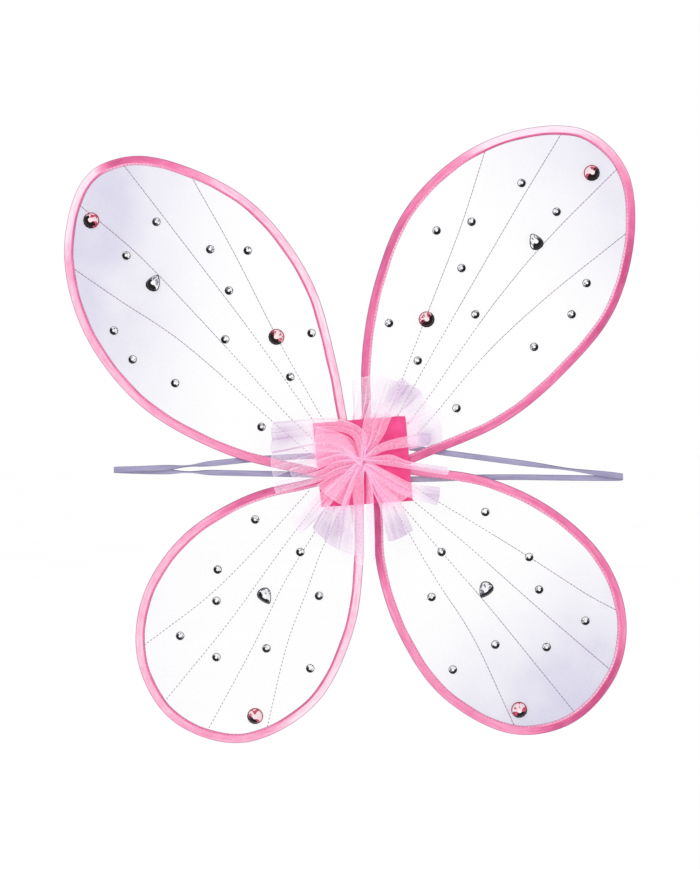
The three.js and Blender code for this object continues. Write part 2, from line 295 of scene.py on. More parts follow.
# ---- Materials ----
def satin():
    """Satin ribbon over a fine twill. Its colour is painted sheen that turns from pale to deep pink
    along the rim, in soft streaks, with a painted mauve shadow line at its edges."""
    s = Shader("pink_satin", srgb(244, 130, 175), 0.4, Sheen_Weight=0.1, Sheen_Roughness=0.3,
               Anisotropic=0.5, Specular_IOR_Level=0.35)
    # Painted sheen: soft streaks along the ribbon, on top of the sheen painted along the rim; the
    # ramp's pale end is a painted highlight.
    broad = s.math("SUBTRACT", s.noise(s.place("UV", (24, 260, 1)), 1.0, 1.0), 0.5)
    fine = s.math("SUBTRACT", s.noise(s.place("UV", (110, 620, 1)), 1.0, 2.0), 0.5)
    streaks = s.math("ADD", s.math("MULTIPLY", broad, 0.4), s.math("MULTIPLY", fine, 0.45))
    light = s.math("ADD", s.attribute("shine"), streaks)
    shine = s.ramp(light, [(0.0, srgb(200, 78, 130)), (0.3, srgb(234, 116, 164)),
                           (0.6, srgb(250, 158, 196)), (0.8, srgb(254, 194, 218)),
                           (1.0, srgb(255, 228, 241))])
    # Painted shade: the mauve shadow line along the ribbon's edges.
    s.color(s.mix(s.attribute("rim"), shine, srgb(160, 84, 138)))
    s.bump(s.weave(900), 0.1)
    return s.material


def felt():
    """Pressed felt: short matted fibres with slight changes of pink, and a faint painted glow."""
    # The pink emission is painted light: a glow that lifts the felt's shade, though it is no lamp.
    s = Shader("hot_pink_felt", srgb(248, 72, 140), 0.92, Sheen_Weight=0.2, Sheen_Roughness=0.6,
               Emission_Color=(*srgb(255, 30, 110), 1), Emission_Strength=0.16)
    mottle = s.noise(s.place("Object"), 120, 4.0)
    s.color(s.ramp(mottle, [(0.3, srgb(214, 58, 122)), (0.7, srgb(226, 84, 144))]))
    s.bump(s.noise(s.place("Object", (1, 1, 2.5)), 1600, 5.0), 0.5, 0.0003)
    return s.material


def organza():
    """The wings' sheer cloth: see-through between its threads, and lavender towards the tips."""
    s = Shader("sheer_organza", srgb(246, 244, 252), 0.45, Sheen_Weight=0.3)
    place = s.place("Object")
    cloud = s.noise(place, 22, 4.0)
    grain = s.noise(place, 700, 2.0)
    patchy = s.math("ADD", 0.55, s.math("MULTIPLY", cloud, 0.9))
    tint = s.math("MULTIPLY", s.attribute("tint"), patchy)
    s.color(s.mix(tint, srgb(248, 247, 251), srgb(180, 172, 213)))
    thin = s.math("ADD", 0.08, s.math("MULTIPLY", grain, 0.14))
    alpha = s.math("ADD", s.math("MULTIPLY", tint, 0.36), thin)
    s.link(alpha, s.main.inputs["Alpha"])
    s.bump(s.weave(700), 0.2)
    return s.material


def petals():
    """The rosette's organza, clouded lilac by itself. Over the pad, but for the tops of its folds,
    its colour is painted with pink light from the pad, and it glows faintly pink, a painted glow."""
    # The pink emission is a painted glow.
    s = Shader("petal_organza", srgb(250, 235, 246), 0.42, Sheen_Weight=0.25,
               Emission_Color=(*srgb(255, 176, 216), 1), Emission_Strength=0.16)
    cloud = s.noise(s.place("Object"), 46, 3.0)
    shaded = s.math("ADD", s.attribute("moire"), s.math("SUBTRACT", cloud, 0.4))
    lilac = s.ramp(shaded, [(0.0, srgb(241, 236, 246)), (0.9, srgb(192, 176, 208))])
    # Painted pink light from the pad, mixed over the lilac.
    s.color(s.mix(s.attribute("rosiness"), lilac, srgb(252, 209, 234)))
    grain = s.noise(s.place("UV"), 500, 4.0)
    uneven = s.math("ADD", s.math("MULTIPLY", s.math("SUBTRACT", grain, 0.5), 0.6),
                    s.math("MULTIPLY", s.math("SUBTRACT", shaded, 0.2), 0.25))
    s.link(s.math("ADD", s.attribute("cover"), uneven), s.main.inputs["Alpha"])
    s.bump(s.weave(800), 0.12)
    return s.material


def thread(name, color):
    """Twisted sewing thread."""
    s = Shader(name, color, 0.6, Sheen_Weight=0.3)
    place = s.place("Object")
    deep = tuple(value * 0.6 for value in color)
    s.color(s.mix(s.noise(place, 900, 2.0), deep, color))
    s.bump(s.noise(place, 3000, 1.0), 0.4)
    return s.material


def elastic():
    """Flat elastic: fine ribs along its length and darker selvedges."""
    s = Shader("lavender_elastic", srgb(160, 152, 190), 0.6, Sheen_Weight=0.3)
    ribs = s.node("ShaderNodeTexWave", bands_direction="Y", Scale=450.0)
    s.link(s.place("UV"), ribs.inputs["Vector"])
    streaks = s.noise(s.place("UV", (40, 300, 1)), 1.0)
    shade = s.mix(streaks, srgb(128, 120, 160), srgb(188, 182, 214))
    s.color(s.mix(s.attribute("edge"), shade, srgb(84, 78, 112)))
    s.bump(ribs.outputs["Fac"], 0.4, 0.0002)
    return s.material


def gem(name, color):
    """Cut glass over foil: each facet is painted with the light or dark it would throw back, a
    painted reflection.
    """
    s = Shader(name, color, 0.1, Specular_IOR_Level=0.15)
    # Painted reflections, one colour for each facet.
    shade = s.attribute("facet", "Color")
    flaws = s.noise(s.place("Object"), 420, 2.0)
    s.color(s.mix(s.math("MULTIPLY", flaws, 0.02), shade, color))
    return s.material


def steel():
    """Drawn wire with faint marks."""
    s = Shader("steel_wire", srgb(186, 186, 190), 0.35, Metallic=1.0)
    marks = s.noise(s.place("Object"), 900, 3.0)
    s.color(s.ramp(marks, [(0.4, srgb(150, 150, 156)), (0.6, srgb(200, 200, 204))]))
    return s.material


SATIN = satin()
FELT = felt()
ORGANZA = organza()
PETALS = petals()
VEIN_THREAD = thread("mauve_thread", srgb(146, 86, 146))
SEAM_THREAD = thread("pink_thread", srgb(226, 104, 150))
ELASTIC = elastic()
CLEAR_GEM = gem("clear_gem", srgb(214, 220, 232))
PINK_GEM = gem("pink_gem", srgb(226, 120, 150))
STEEL = steel()


# ---- Mesh helpers ----
STITCH_END = 0.35  # how thick a stitch's ends are, as a share of its middle
STITCH_RISE, STITCH_SINK = 1.2, 0.7  # how far it stands out and goes in, in radii


def add_mesh(name, points, faces, material, uvs=None, smooth=True, **attributes):
    """A mesh object. uvs and attributes have one value for each point."""
    mesh = bpy.data.meshes.new(name)
    mesh.from_pydata([tuple(p) for p in points], [], [tuple(int(i) for i in f) for f in faces])
    mesh.update()
    for polygon in mesh.polygons:
        polygon.use_smooth = smooth
    if uvs is not None:
        layer = mesh.uv_layers.new(name="UVMap")
        corners = np.array([loop.vertex_index for loop in mesh.loops])
        layer.data.foreach_set("uv", np.asarray(uvs, float)[corners].ravel())
    for key, values in attributes.items():
        layer = mesh.attributes.new(key, "FLOAT", "POINT")
        layer.data.foreach_set("value", np.asarray(values, np.float32))
    mesh.materials.append(material)
    piece = bpy.data.objects.new(name, mesh)
    scene.collection.objects.link(piece)
    return piece


def grid_faces(rows, columns, wrap=False):
    """Quads over rows x columns points; wrap joins each row's last point to its first."""
    faces = []
    for i in range(rows - 1):
        for j in range(columns if wrap else columns - 1):
            k = (j + 1) % columns
            here, above = i * columns, (i + 1) * columns
            faces.append((here + j, here + k, above + k, above + j))
    return faces


def clamp(value):
    return min(max(value, 0), 1)


def length_along(line):
    """How far along the line each of its points lies."""
    steps = norm(np.diff(line, axis=0), axis=1)
    return np.concatenate([[0], np.cumsum(steps)])


def directions(line):
    """The unit tangent at each point of a line."""
    tangent = np.gradient(line, axis=0)
    return tangent / norm(tangent, axis=1)[:, None]


def resampled(line, count):
    """The line as count points, evenly apart."""
    along = length_along(line)
    even = np.linspace(0, along[-1], count)
    return np.stack([np.interp(even, along, line[:, k]) for k in range(line.shape[1])], 1)


def smooth_curve(points, per_span=12):
    """A Catmull-Rom curve through points."""
    points = np.asarray(points, float)
    padded = np.concatenate([[2 * points[0] - points[1]], points, [2 * points[-1] - points[-2]]])
    spans = []
    t = np.linspace(0, 1, per_span, endpoint=False)[:, None]
    for a, b, c, d in zip(padded, padded[1:], padded[2:], padded[3:]):
        spans.append(0.5 * (2 * b + (c - a) * t + (2 * a - 5 * b + 4 * c - d) * t ** 2
                            + (3 * b - a - 3 * c + d) * t ** 3))
    return np.concatenate([*spans, points[-1:]])


def node_points(name):
    """A CAD node's points, each once."""
    return np.unique(np.round([tuple(v.co) for v in frame["nodes"][name].data.vertices], 6), axis=0)


def stitches(name, lines, pitch, length, radius, material, close=0.0):
    """Rows of short stitches: each is a little thread that rises from the cloth and goes back in.
    Over the first share of a line that close gives, they meet end to end."""
    points, faces = [], []
    sides, rings = 6, 5
    for line in lines:
        along = length_along(line)
        for start in np.arange(pitch * 0.3, along[-1] - length, pitch):
            reach = pitch if start < close * along[-1] else length
            at = np.linspace(start, start + reach, rings)
            middle = np.stack([np.interp(at, along, line[:, k]) for k in range(3)], 1)
            tangent = middle[-1] - middle[0]
            tangent /= norm(tangent)
            front = np.array([0, -1, 0])
            side = np.cross(tangent, front)
            side /= norm(side)
            rise = np.sin(np.linspace(0, pi, rings))
            first = len(points)
            for k in range(rings):
                thick = radius * (STITCH_END + (1 - STITCH_END) * rise[k])
                center = middle[k] + front * radius * (STITCH_RISE * rise[k] - STITCH_SINK)
                for turn in np.linspace(0, 2 * pi, sides, endpoint=False):
                    around = cos(turn) * side + sin(turn) * front
                    points.append(center + thick * around)
            faces += [tuple(first + i for i in f) for f in grid_faces(rings, sides, wrap=True)]
            faces.append(tuple(first + i for i in reversed(range(sides))))
            faces.append(tuple(first + (rings - 1) * sides + i for i in range(sides)))
    return add_mesh(name, points, faces, material)


# ---- Wing places ----
class Wing:
    """One wing's places, worked out from its CAD nodes and its joint."""

    def __init__(self, name):
        self.name = name
        self.body = f"{name}_wing"
        low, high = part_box(f"{name}_membrane")
        self.y = (low.y + high.y) / 2
        self.front = low.y
        joint = next(j for j in frame["joints"] if j["child"] == self.body)
        self.pivot = Vector(joint["pos_m"])
        axis = Vector(joint["axis"])
        across = Vector((axis.z, 0, -axis.x))
        self.out = across if across.dot(self.pivot) > 0 else -across
        self.rim, self.outward = self.rim_line()
        self.along = length_along(self.rim)

    def rim_line(self):
        """The binding's middle line as (x, z), anticlockwise, and its outward directions."""
        flat = np.unique(np.round(node_points(f"{self.name}_membrane")[:, [0, 2]], 5), axis=0)
        center = flat.mean(0)
        flat = flat[np.argsort(np.arctan2(*(flat - center).T[::-1]))]
        gaps = norm(np.roll(flat, -1, axis=0) - flat, axis=1)
        flat = np.roll(flat, -int(gaps.argmax()) - 1, axis=0)
        curve = resampled(smooth_curve(flat), RIM_STATIONS)
        ends = [curve[0] - curve[4], curve[-1] - curve[-5]]
        first, last = (e / norm(e) * UNDER_PAD for e in ends)
        curve = np.concatenate([[curve[0] + first], curve, [curve[-1] + last]])
        curve = resampled(curve, RIM_STATIONS)
        tangent = directions(curve)
        outward = np.stack([tangent[:, 1], -tangent[:, 0]], 1)
        return curve + outward * MEMBRANE_TO_RIM, outward

    def bend(self, piece):
        """Bakes the piece's placing into its mesh; it doesn't bend the piece."""
        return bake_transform(piece)


# The ribbon's puckers and its inner edge's wavering, with rates in radians per metre; its lip's
# painted sheen, pale where the face's painted sheen is deep; and its mauve edges, a painted shadow
# line, in mm off the middle line.
PUCKER_ALONG, PUCKER_ACROSS, PUCKERS = 900, 700, (0.08, 0.06)
WAVER, WAVER_RATE = 0.12 * MM, 190
LIP_SHINE, LIP_CONTRAST = 0.9, 0.75
MAUVE_FROM, MAUVE_OVER, OUTER_MAUVE, INNER_MAUVE = 3.0, 0.5, 0.9, 0.5


def add_binding(wing):
    """The satin ribbon folded over the wire, puckered a little where it turns."""
    half = BINDING_SECTION[:-1]
    section = np.array(BINDING_SECTION + [(-d, v) for d, v in reversed(half)]) * MM
    across = length_along(section)
    stations, paleness = zip(*PAINTED_SHEEN[wing.name])
    points, uvs, edge_shades, shines = [], [], [], []
    for (x, z), (ox, oz), s in zip(wing.rim, wing.outward, wing.along):
        # Painted sheen: how pale the satin is painted here along the rim.
        band = float(np.interp(s / wing.along[-1], stations, paleness))
        for (height, offset), t in zip(section, across):
            inner = clamp(-offset / HALF_RIBBON)
            slant = s * PUCKER_ALONG + offset * PUCKER_ACROSS
            pucker = PUCKERS[0] * sin(slant) + PUCKERS[1] * sin(slant * 0.43 + 1.3)
            height += copysign(pucker * MM * (0.3 + inner), height) if height else 0
            shines.append(LIP_SHINE - LIP_CONTRAST * band if offset < -LIP else band)
            # Painted shade: a mauve shadow line along both edges of the ribbon.
            mauve = clamp((abs(offset) / MM - MAUVE_FROM) / MAUVE_OVER)
            edge_shades.append(mauve * (OUTER_MAUVE if offset > 0 else INNER_MAUVE))
            offset += WAVER * sin(s * WAVER_RATE) * inner
            points.append((x + ox * offset, wing.y - height, z + oz * offset))
            uvs.append((s, t))
    faces = grid_faces(len(wing.rim), len(section))
    piece = add_mesh(f"{wing.name}_satin_binding", points, faces, SATIN, uvs,
                     rim=edge_shades, shine=shines)
    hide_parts(f"{wing.name}_binding")
    wing.bend(piece)


def add_seam(wing):
    """The row of stitches along the binding's inner edge, on the front and the back."""
    x, z = (wing.rim + wing.outward * SEAM_OFFSET).T
    for side, height in (("front", SEAM_HEIGHT), ("back", -SEAM_HEIGHT)):
        line = np.stack([x, np.full(len(x), wing.y - height), z], 1)
        piece = stitches(f"{wing.name}_seam_{side}", [line], SEAM_PITCH, SEAM_STITCH,
                         STITCH_RADIUS * 0.8, SEAM_THREAD)
        wing.bend(piece)


RIPPLE_FROM = 0.6  # how far out the cloth starts to ripple, as a share
RIPPLE = 0.22 * MM


def add_membrane(wing):
    """One sheer panel stretched over the loop, with faint puckers where the binding pulls it."""
    rings, closing_points, crowd = 22, 24, 0.8
    edge = wing.rim - wing.outward * MEMBRANE_TO_RIM
    closing = np.linspace(edge[-1], edge[0], closing_points)[1:-1]
    outline = np.concatenate([edge, closing])
    center = outline.mean(0)
    turns = np.linspace(0, 2 * pi, len(outline), endpoint=False)
    along_x, along_z, start, grows, strongest = TINTS[wing.name]
    start, grows = start * MM, grows * MM
    points, tints = [], []
    for ring in range(1, rings + 1):
        share = (ring / rings) ** crowd
        for (x, z), turn in zip(center + (outline - center) * share, turns):
            pull = sin(pi * clamp((share - RIPPLE_FROM) / (1 - RIPPLE_FROM)))
            ripple = RIPPLE * pull * sin(turn * 37 + 2 * sin(turn * 5))
            points.append((x, wing.y + ripple, z))
            tints.append(clamp((x * along_x + z * along_z - start) / grows) * strongest)
    points.append((center[0], wing.y, center[1]))
    tints.append(tints[0])
    faces = grid_faces(rings, len(outline), wrap=True)
    last = len(points) - 1
    faces += [(last, (j + 1) % len(outline), j) for j in range(len(outline))]
    uvs = [(p[0], p[2]) for p in points]
    piece = add_mesh(f"{wing.name}_organza", points, faces, ORGANZA, uvs, tint=tints)
    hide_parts(f"{wing.name}_membrane")
    wing.bend(piece)


# Over this share of a wing's veins, from the rim, the stitches meet end to end.
STITCHES_MEET = {UL: 0.6, UR: 0.6, LL: 0.0, LR: 0.6}
RING_GAP = 3 * MM  # less than lies between two rings of a vein's CAD ribbon
SLANT = 1.35  # a vein's way to the rim, over the shortest way there


def vein_line(wing, node):
    """A vein's middle line from its CAD ribbon's rings, carried on to the binding and the pad."""
    flat = node_points(node)[:, [0, 2]]
    chord = flat - flat.mean(0)
    direction = np.linalg.svd(chord, full_matrices=False)[2][0]
    flat = flat[np.argsort(chord @ direction)]
    reach = np.sort(chord @ direction)
    breaks = np.where(np.diff(reach) > RING_GAP)[0] + 1
    rings = np.array([group.mean(0) for group in np.split(flat, breaks)])
    if np.hypot(*rings[0]) < np.hypot(*rings[-1]):
        rings = rings[::-1]
    tip = rings[0] - rings[1]
    to_rim = norm(wing.rim - rings[0], axis=1).min()
    rings[0] += tip / norm(tip) * max(to_rim * SLANT - HALF_RIBBON, 0)
    root = rings[-1] - rings[-2]
    root /= norm(root)
    out = np.array((wing.out.x, wing.out.z))
    beyond = (rings[-1] - np.array((wing.pivot.x, wing.pivot.z))) @ out
    end = rings[-1] + root * (beyond - BEND_OUTSIDE) / abs(root @ out)
    curve = smooth_curve(np.concatenate([rings, [end]]))
    return np.stack([curve[:, 0], np.full(len(curve), wing.front), curve[:, 1]], 1)


def add_veins(wing):
    """A row of stitches along each of the wing's four veins."""
    for number in range(1, 5):
        node = f"{wing.name}_vein_{number}"
        line = vein_line(wing, node)
        piece = stitches(f"{node}_stitches", [line], VEIN_PITCH, VEIN_STITCH, STITCH_RADIUS,
                         VEIN_THREAD, STITCHES_MEET[wing.name])
        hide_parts(node)
        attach(piece, wing.body)


# ---- Gems ----
# A gem's rows of points from its back to its table: how far out and how high, as shares. CROWN is
# the row whose points stand over the middles of the outline's sides.
GEM_ROWS = [(0.98, 0.0), (1.0, 0.2), (0.88, 0.34), (0.74, 0.66), (0.3, 1.0)]
CROWN = 3
# Where the painted dark and between reflections start, as a facet's lean to the dark side.
DARK_FROM, MIDDLE_FROM, DARK_GIRDLE_FROM = 0.04, -0.16, 0.1  # a facet's lean to the dark side
UNEVEN_CUT, ODD_FACETS, DIMMEST = 0.25, 0.25, 0.85


def cut_gem(name, outline, height, place, material, shades, dark_reflection_side, darkness=0.0):
    """A flat-backed gem: a girdle, two rows of facets and a table, each facet painted with a
    reflection.
    shades gives the painted reflections of its facets away from the dark side, between, and towards
    it, and at the girdle; darkness is how far the painted dark reflection reaches over the middle."""
    outline = np.asarray(outline)
    count = len(outline)
    half = (outline + np.roll(outline, -1, axis=0)) / 2
    points = []
    for number, (out, level) in enumerate(GEM_ROWS):
        row = (half if number == CROWN else outline) * out
        points += [(place[0] + x, place[1] - level * height, place[2] + z) for x, z in row]
    faces = [tuple(reversed(range(count)))]
    for j in range(count):
        k = (j + 1) % count
        for row in (0, 1):
            first, above = row * count, (row + 1) * count
            faces.append((first + j, first + k, above + k, above + j))
        faces.append((2 * count + j, 2 * count + k, 3 * count + j))
        faces.append((2 * count + k, 3 * count + k, 3 * count + j))
        faces.append((3 * count + j, 3 * count + k, 4 * count + k))
        faces.append((3 * count + j, 4 * count + k, 4 * count + j))
    faces.append(tuple(4 * count + j for j in range(count)))
    piece = add_mesh(name, points, faces, material, smooth=False)
    layer = piece.data.color_attributes.new("facet", "FLOAT_COLOR", "CORNER")
    light, middle, dark, girdle = (np.array(shade) for shade in shades)
    draw = random.Random(name)
    for polygon in piece.data.polygons:
        lean = polygon.normal.x * dark_reflection_side[0] + polygon.normal.z * dark_reflection_side[1] + darkness
        lean += draw.uniform(-UNEVEN_CUT, UNEVEN_CUT)
        shade = dark if lean > DARK_FROM else middle if lean > MIDDLE_FROM else light
        if len(polygon.vertices) == 3 and shade is light and draw.random() < ODD_FACETS:
            shade = middle
        if len(polygon.vertices) == 4:
            shade = dark if lean > DARK_GIRDLE_FROM else girdle
        if len(polygon.vertices) == count:
            shade = light
        for loop in polygon.loop_indices:
            layer.data[loop].color = (*(shade * draw.uniform(DIMMEST, 1.0)), 1)
    return piece


def round_outline(radius, sides):
    turns = np.linspace(0, 2 * pi, sides, endpoint=False)
    return [(radius * cos(t), radius * sin(t)) for t in turns]


def teardrop_outline(width, length, pointing, sides=16):
    """A drop whose tip points to the angle pointing, about the middle of its length."""
    points = []
    for t in np.linspace(0, 2 * pi, sides, endpoint=False):
        along = length / 2 * cos(t)
        across = width / 2 * sin(t) * (1 - TAPER * cos(t)) ** TAPER_POWER
        points.append((along * cos(pointing) - across * sin(pointing),
                       along * sin(pointing) + across * cos(pointing)))
    return points


# The facets' painted reflections: light, between, dark and at the girdle.
CLEAR_SHADES = (srgb(255, 255, 255), srgb(128, 128, 146), srgb(2, 2, 4), srgb(44, 44, 60))
PINK_SHADES = (srgb(255, 232, 238), srgb(206, 84, 108), srgb(8, 1, 3), srgb(168, 52, 78))
# How far the painted dark reflection reaches over each wing's pink gems, and where its teardrop
# points, in degrees from +X towards +Z.
PINK_DARKNESS = {UL: 0.0, UR: 0.12, LL: -0.35, LR: -0.25}
TEARDROP_POINTING = {UL: 62, UR: 118, LL: 300, LR: 240}
TEARDROP_SIZE = (10.4 * MM, 14 * MM)
TAPER, TAPER_POWER = 0.42, 1.1
SMALL_GEM_SIDES, PINK_GEM_SIDES = 10, 14


def add_gems(wing):
    """The wing's rhinestones, and a cut stone in place of each gem of the CAD."""
    dark_reflection_side = DARK_REFLECTION_SIDES[wing.name]
    for number, (x, z) in enumerate(RHINESTONES[wing.name], 1):
        place = (x * MM, wing.front, z * MM)
        outline = round_outline(SMALL_GEM_RADIUS, SMALL_GEM_SIDES)
        piece = cut_gem(f"{wing.name}_rhinestone_{number}", outline, SMALL_GEM_HEIGHT, place,
                        CLEAR_GEM, CLEAR_SHADES, dark_reflection_side)
        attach(piece, wing.body)
    for node in sorted(frame["nodes"]):
        if not node.startswith(wing.name) or "gem" not in node:
            continue
        low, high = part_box(node)
        middle = (low + high) / 2
        place = (middle.x, wing.front, middle.z)
        if "pink" in node:
            outline = round_outline((high.x - low.x) / 2, PINK_GEM_SIDES)
            looks = (PINK_GEM, PINK_SHADES, dark_reflection_side, PINK_DARKNESS[wing.name])
        else:
            outline = teardrop_outline(*TEARDROP_SIZE, radians(TEARDROP_POINTING[wing.name]))
            looks = (CLEAR_GEM, CLEAR_SHADES, dark_reflection_side)
        piece = cut_gem(f"{node}_cut", outline, wing.front - low.y, place, *looks)
        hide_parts(node)
        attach(piece, wing.body)


# ---- Pad ----
ROUND_OVER = 0.08  # the share of a side over which a cut edge rounds over
CUT_EDGE = 0.25  # how thick a cut edge is, as a share of the felt
FELT_WAVE = 0.25 * MM
# Where the front pad's quarters meet, as shares of its sides from the left or from the top.
TOP_CUT, RIGHT_CUT, BOTTOM_CUT, LEFT_CUT = 0.45, 0.56, 0.52, 0.64
BACK_PITCH, BACK_STITCH = 4 * MM, 2.8 * MM
BACK_INSET = 0.92  # where the back pad's stitching runs, as a share of the way out


def felt_patch(name, corners, y_front, y_back, soft_edges):
    """A felt panel over four corners (x, z). soft_edges says which ends of its two directions,
    as (start, end) pairs, are cut edges that round over."""
    count = 22
    shares = np.linspace(0, 1, count)
    middle, half = (y_front + y_back) / 2, abs(y_back - y_front) / 2
    front, uvs = [], []
    a, b, c, d = (np.array(corner) for corner in corners)

    def fullness(share, ends):
        return min(share if ends[0] else 1, 1 - share if ends[1] else 1) / ROUND_OVER

    for u in shares:
        for v in shares:
            x, z = a * (1 - u) * (1 - v) + b * u * (1 - v) + c * u * v + d * (1 - u) * v
            near = min(fullness(u, soft_edges[0]), fullness(v, soft_edges[1]), 1.0)
            rounded = sqrt(max(0.0, 1 - (1 - near) ** 2))
            thick = half * (CUT_EDGE + (1 - CUT_EDGE) * rounded)
            wave = FELT_WAVE * sin(x * 130 + 1) * sin(z * 110)
            front.append((x, middle - thick + wave, z))
            uvs.append((x, z))
    back = [(x, 2 * middle - y, z) for x, y, z in front]
    faces = grid_faces(count, count)
    offset = len(front)
    faces += [tuple(offset + i for i in reversed(f)) for f in grid_faces(count, count)]
    ring = [*range(count), *range(2 * count - 1, count * count, count),
            *range(count * count - 2, count * (count - 1) - 1, -1),
            *range(count * (count - 2), 0, -count)]
    faces += [(j, i, i + offset, j + offset) for i, j in zip(ring, ring[1:] + ring[:1])]
    piece = add_mesh(name, front + back, faces, FELT, uvs + uvs)
    return piece


def pad_corners(node):
    """The pad's corners as (x, z): upper left, upper right, lower right and lower left."""
    flat = np.unique(node_points(node)[:, [0, 2]], axis=0)
    signs = [(-1, 1), (1, 1), (1, -1), (-1, -1)]
    return [flat[np.argmax(flat @ np.array(sign))] for sign in signs]


def add_front_pad(wings):
    """The front pad in four quarters that meet under the rosette."""
    low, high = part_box("front_pad")
    upper_left, upper_right, lower_right, lower_left = pad_corners("front_pad")
    top = upper_left + (upper_right - upper_left) * TOP_CUT
    right = upper_right + (lower_right - upper_right) * RIGHT_CUT
    bottom = lower_left + (lower_right - lower_left) * BOTTOM_CUT
    left = upper_left + (lower_left - upper_left) * LEFT_CUT
    middle = np.array((0.0, 0.0))
    quarters = {UL: (middle, top, upper_left, left),
                UR: (middle, right, upper_right, top),
                LR: (middle, bottom, lower_right, right),
                LL: (middle, left, lower_left, bottom)}
    for wing in wings:
        corners = quarters[wing.name]
        piece = felt_patch(f"front_pad_{wing.name}", corners, low.y, high.y,
                           ((False, True), (False, True)))
        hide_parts("front_pad")
        wing.bend(piece)


def add_back_pad():
    """The back pad in one panel, with a row of stitches round it."""
    low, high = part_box("back_pad")
    upper_left, upper_right, lower_right, lower_left = pad_corners("back_pad")
    corners = (lower_left, lower_right, upper_right, upper_left)
    piece = felt_patch("back_pad_felt", corners, low.y, high.y, ((True, True), (True, True)))
    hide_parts("back_pad")
    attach(piece, "pad")
    inset = [np.array(c) * BACK_INSET for c in (*corners, corners[0])]
    line = np.array([(x, high.y + 0.1 * MM, z) for x, z in inset])
    edge = stitches("back_pad_stitching", [resampled(line, 200)], BACK_PITCH, BACK_STITCH,
                    STITCH_RADIUS, SEAM_THREAD)
    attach(edge, "pad")


# ---- Rosette ----
ONE_LAYER = 0.34  # how much one layer of organza covers, seen square on
OVER_PAD = 0.06  # how much more over the pad, whose pink lights it from behind
MOST_LAYERS = 5  # how many layers' worth a standing fold shows
PAD_HALF = (40 * MM, 35 * MM)
PETAL_RISE = 5 * MM  # how far a petal's end stands off, as the crisp cloth lifts
PUFF = 2 * MM  # how far a petal's middle arches forward
MOST_SWING = 4.2 * MM  # half the height of the tallest fold
NARROWEST = 0.5 * MM
UNEVEN, WANDER = 0.7, 1.2  # how far folds stray, across and along a petal, in radians
LEAN, HEM = 0.5, 0.2  # how far a fold leans over; how much more an edge covers
# Within ROSY_FADE the petals carry painted pink light from the pad.
ROSY_FADE, PRESS_FADE = 5 * MM, 12 * MM  # how far off the pad petals stay rosy, and pressed
BEHIND = 0.15 * MM  # how far in front of the bindings the back petals lie
# How high petals lie over the pad, in mm: the first one, then what each later one adds all
# along, and what it adds in the middle.
PETAL_BASE, STACK_STEP, STACK_MIDDLE = 0.5, 0.08, 0.22
BACK_BULGE, FRONT_BULGE = 5, 1.5  # how far a petal's end bulges, in mm
GATHERED_IN = 0.2  # how near the middle front petals start, as a share of their first points
PETAL_ROWS = 40
COLUMNS_PER_FOLD = 14

# Where crossing weaves shade the rosette's outer cloth: x, z and reach, in mm.
MOIRE = [(-29, -52, 24), (30, -55, 22), (56, -27, 17), (50, 20, 20), (34, 56, 20), (-64, 20, 22)]


def petal(name, width, folds, edges, height_at, pressed_at, bulge):
    """A length of organza between two edges. It is gathered in the middle into folds that open
    out along it, so that it keeps its cut width all along, and its end bulges a little. The folds
    stand up, or lie over flat where the petal is pressed."""
    columns = COLUMNS_PER_FOLD * folds + 1
    draw = random.Random(name)
    phase = draw.uniform(0, 2 * pi)
    wander = draw.uniform(-WANDER, WANDER)
    lean = draw.choice((-LEAN, LEAN))
    left, right = (resampled(smooth_curve(edge), PETAL_ROWS) * MM for edge in edges)
    length = float(length_along(left)[-1] + length_along(right)[-1]) / 2
    tip = left[-1] + right[-1] - left[0] - right[0]
    tip *= bulge * MM / norm(tip)
    width *= MM
    share = np.linspace(0, 1, columns)
    arch = np.sin(pi * share)
    points, uvs, cover, rosiness, moire = [], [], [], [], []
    for i in range(PETAL_ROWS):
        u = i / (PETAL_ROWS - 1)
        seen = max(float(norm(right[i] - left[i])), NARROWEST)
        swing = min(sqrt(max(width ** 2 - seen ** 2, 0)) / (4 * folds), MOST_SWING)
        uneven = UNEVEN * np.sin(2 * pi * share + phase)
        fold = swing * (1 - np.cos(2 * pi * folds * share + uneven + wander * u))
        pressed = pressed_at(*(left[i] + right[i]) / 2)
        lying = lean * (1 - pressed) + copysign(pressed, lean)
        place = share * seen + lying * fold * arch ** 0.3
        flat = left[i] + (right[i] - left[i]) * (place / seen)[:, None]
        flat += tip * u ** 3 * arch[:, None]
        run = np.abs(np.gradient(place))
        slope = np.hypot(run, np.gradient(fold)) / np.maximum(run, 1e-7)
        layers = np.clip(slope, 1, MOST_LAYERS)
        for k, (x, z) in enumerate(flat):
            hem = HEM if k in (0, columns - 1) or i == PETAL_ROWS - 1 else 0.0
            rise = (fold[k] + PUFF * arch[k] * sin(pi * u)) * (1 - pressed)
            # Painted pink light from the pad: full over the pad, fading off it, and less on
            # standing folds.
            rosy = 1 - min(beyond_pad(x, z) / ROSY_FADE, 1)
            clear = 1 - ONE_LAYER - OVER_PAD * rosy
            points.append((x, -height_at(x, z, u) - rise, z))
            uvs.append((share[k] * width, u * length))
            cover.append(1 - clear ** layers[k] + hem)
            rosiness.append(rosy * (MOST_LAYERS - layers[k]) / (MOST_LAYERS - 1))
            moire.append(moire_at(x, z))
    piece = add_mesh(name, points, grid_faces(PETAL_ROWS, columns), PETALS, uvs, cover=cover,
                     rosiness=rosiness, moire=moire)
    return piece


def moire_at(x, z):
    """How strongly crossing weaves shade the cloth at a place."""
    return max(0.0, *(1 - dist((x / MM, z / MM), spot) / reach for *spot, reach in MOIRE))


def beyond_pad(x, z):
    """How far a point lies outside the pad, seen from the front."""
    return max(abs(x) - PAD_HALF[0], abs(z) - PAD_HALF[1], 0.0)


